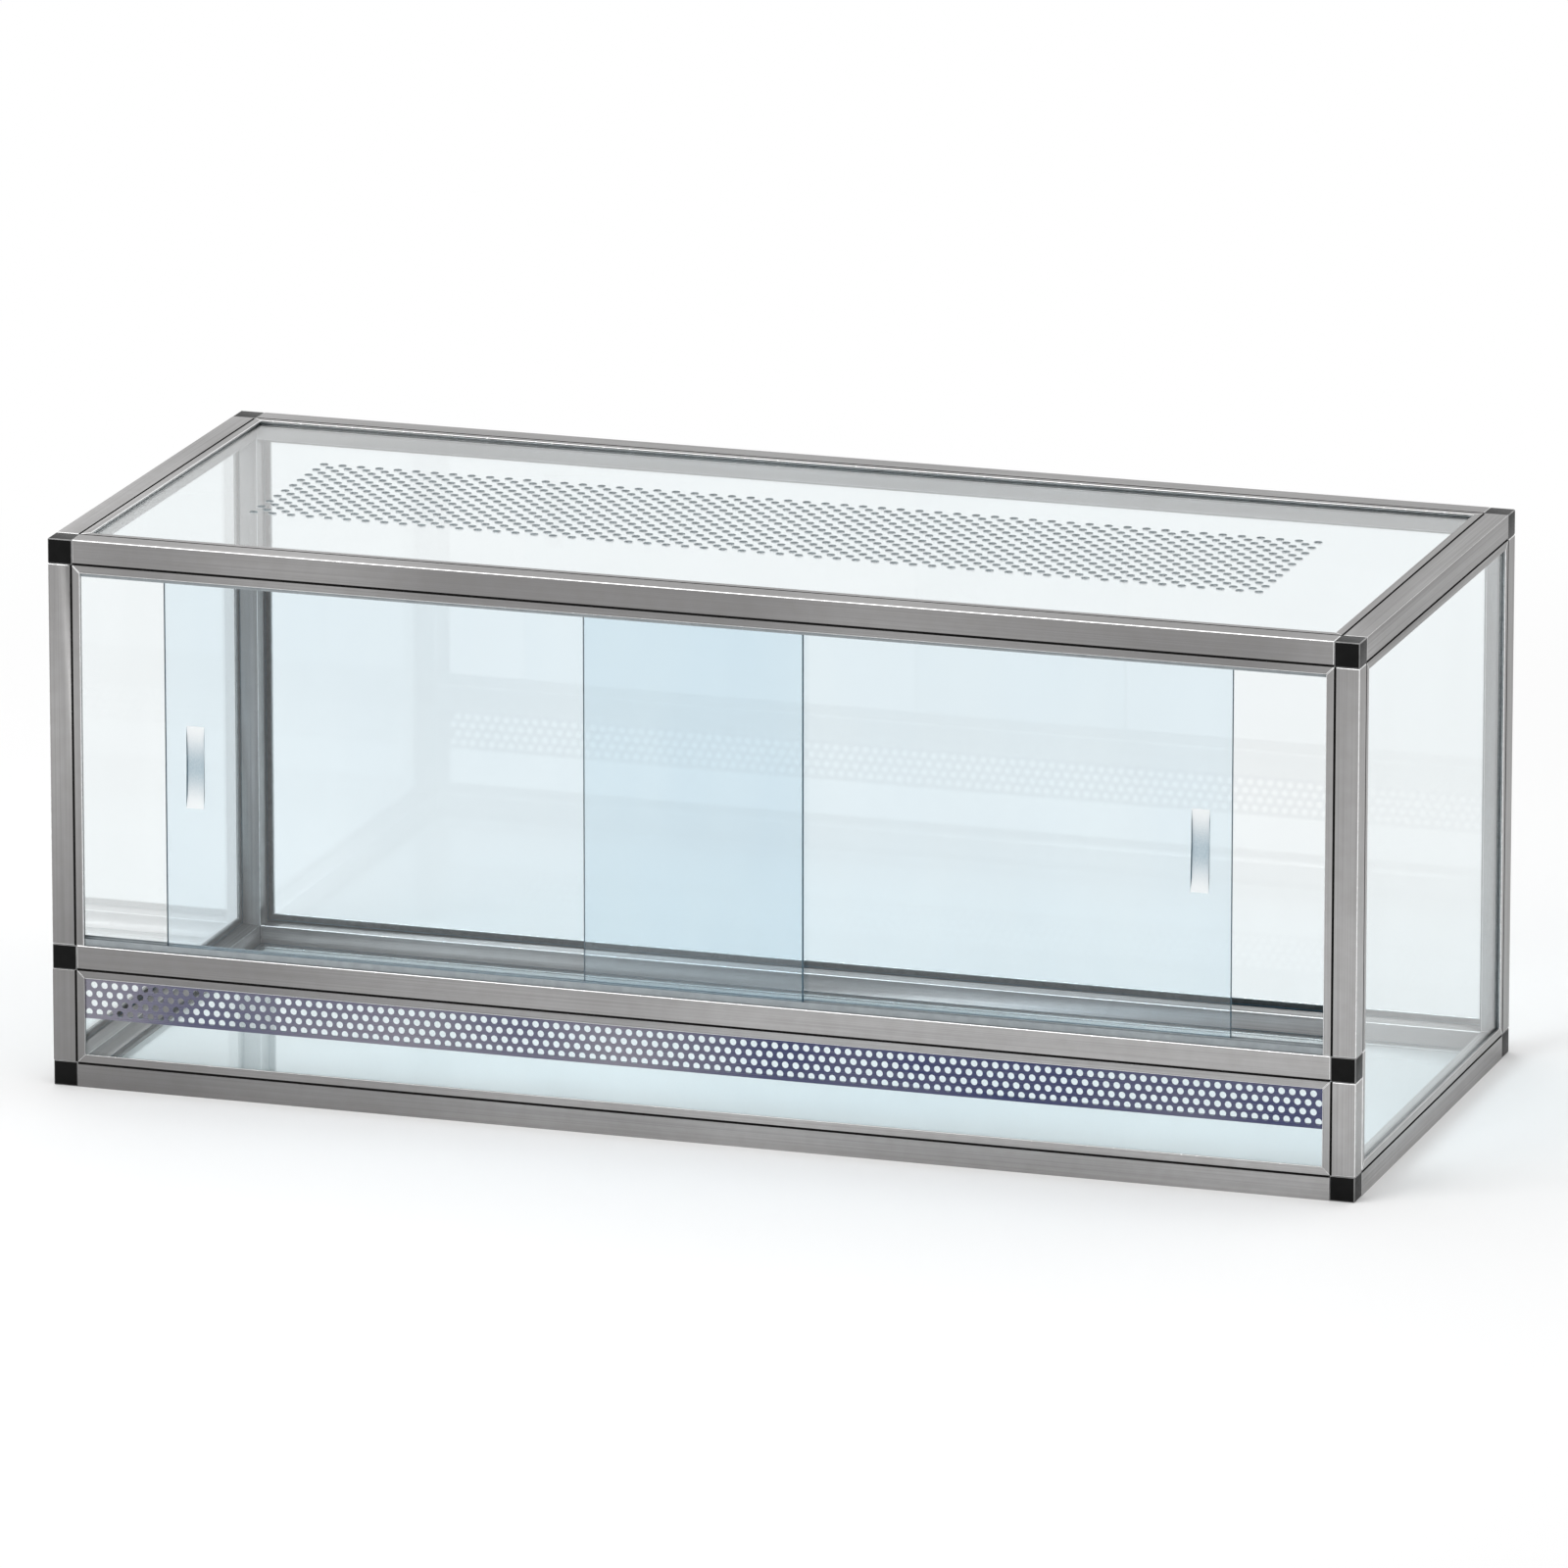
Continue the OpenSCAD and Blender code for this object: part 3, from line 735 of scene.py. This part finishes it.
def studio_floor():
    material, tree = new_material("studio_floor")
    place = add(tree, "ShaderNodeTexCoord").outputs["Object"]
    away = add(tree, "ShaderNodeVectorMath", {0: place}, operation="LENGTH")
    far = add(tree, "ShaderNodeMapRange", {
        "Value": away, "From Min": FADE_START, "From Max": FADE_END}, interpolation_type="SMOOTHSTEP")
    far_and_seen = add(tree, "ShaderNodeMath", {0: far, 1: sees_background(tree)}, operation="MULTIPLY")
    paint = add(tree, "ShaderNodeBsdfDiffuse", {"Color": "#f7f7f7"})
    white = add(tree, "ShaderNodeEmission", {"Color": "#ffffff", "Strength": 1.0})
    shader = add(tree, "ShaderNodeMixShader", {0: far_and_seen, 1: paint, 2: white})
    add(tree, "ShaderNodeOutputMaterial", {"Surface": shader})
    return material


floor_mesh = bpy.data.meshes.new("floor")
corners = [(x * FLOOR_HALF, y * FLOOR_HALF, 0) for x, y in ((-1, -1), (1, -1), (1, 1), (-1, 1))]
floor_mesh.from_pydata(corners, [], [(0, 1, 2, 3)])
floor_mesh.materials.append(studio_floor())
floor = bpy.data.objects.new("floor", floor_mesh)
bpy.context.scene.collection.objects.link(floor)
print("floor fades to white from", FADE_START, "m to", FADE_END, "m")

# %% World
WORLD_LIGHT = 0.62
world = bpy.data.worlds.new("studio")
world.use_nodes = True
sky = world.node_tree
sky.nodes.clear()
level = add(sky, "ShaderNodeMapRange", {
    "Value": sees_background(sky), "To Min": WORLD_LIGHT, "To Max": 1.0})
background = add(sky, "ShaderNodeBackground", {"Color": "#ffffff", "Strength": level})
add(sky, "ShaderNodeOutputWorld", {"Surface": background})
bpy.context.scene.world = world
print("world light on the object:", WORLD_LIGHT)

# %% Lamps
OBJECT_MIDDLE = Vector((0, 0, 0.25))


def softbox(name, place, width, height, watts):
    """An area lamp that looks at the object."""
    light = bpy.data.lights.new(name, "AREA")
    light.shape = "RECTANGLE"
    light.size, light.size_y, light.energy = width, height, watts
    lamp = bpy.data.objects.new(name, light)
    lamp.location = place
    lamp.rotation_euler = (OBJECT_MIDDLE - Vector(place)).to_track_quat("-Z", "Y").to_euler()
    bpy.context.scene.collection.objects.link(lamp)
    print(name, "softbox,", watts, "W")


softbox("key", (-1.6, -2.6, 3.4), 2.4, 1.6, 60)
softbox("top", (0.2, 0.6, 3.6), 6.0, 4.0, 67)

# %% [markdown]
# ## Camera
# The picture is drawn with its front face square to the eye and its depth running off at an angle, which
# no lens gives without a huge shift. A long lens from the front right, a little above the object, shows
# the front, top and right side in nearly the same shares and keeps the uprights parallel.

# %% Camera
CAMERA_AZIMUTH, CAMERA_ELEVATION = 18.0, 15.0
LENS, SENSOR, DISTANCE = 360.0, 36.0, 13.9
AIM = Vector((0.0, 0.0, 0.262))
azimuth, elevation = math.radians(CAMERA_AZIMUTH), math.radians(CAMERA_ELEVATION)
back = Vector((math.sin(azimuth) * math.cos(elevation), -math.cos(azimuth) * math.cos(elevation),
               math.sin(elevation)))
lens = bpy.data.cameras.new("camera")
lens.lens, lens.sensor_width = LENS, SENSOR
lens.clip_start, lens.clip_end = 0.1, 100
camera = bpy.data.objects.new("camera", lens)
camera.location = AIM + back * DISTANCE
camera.rotation_euler = (-back).to_track_quat("-Z", "Y").to_euler()
bpy.context.scene.collection.objects.link(camera)
bpy.context.scene.camera = camera
bpy.context.scene.view_settings.view_transform = "Standard"
print("camera at", [round(v, 2) for v in camera.location], "m")
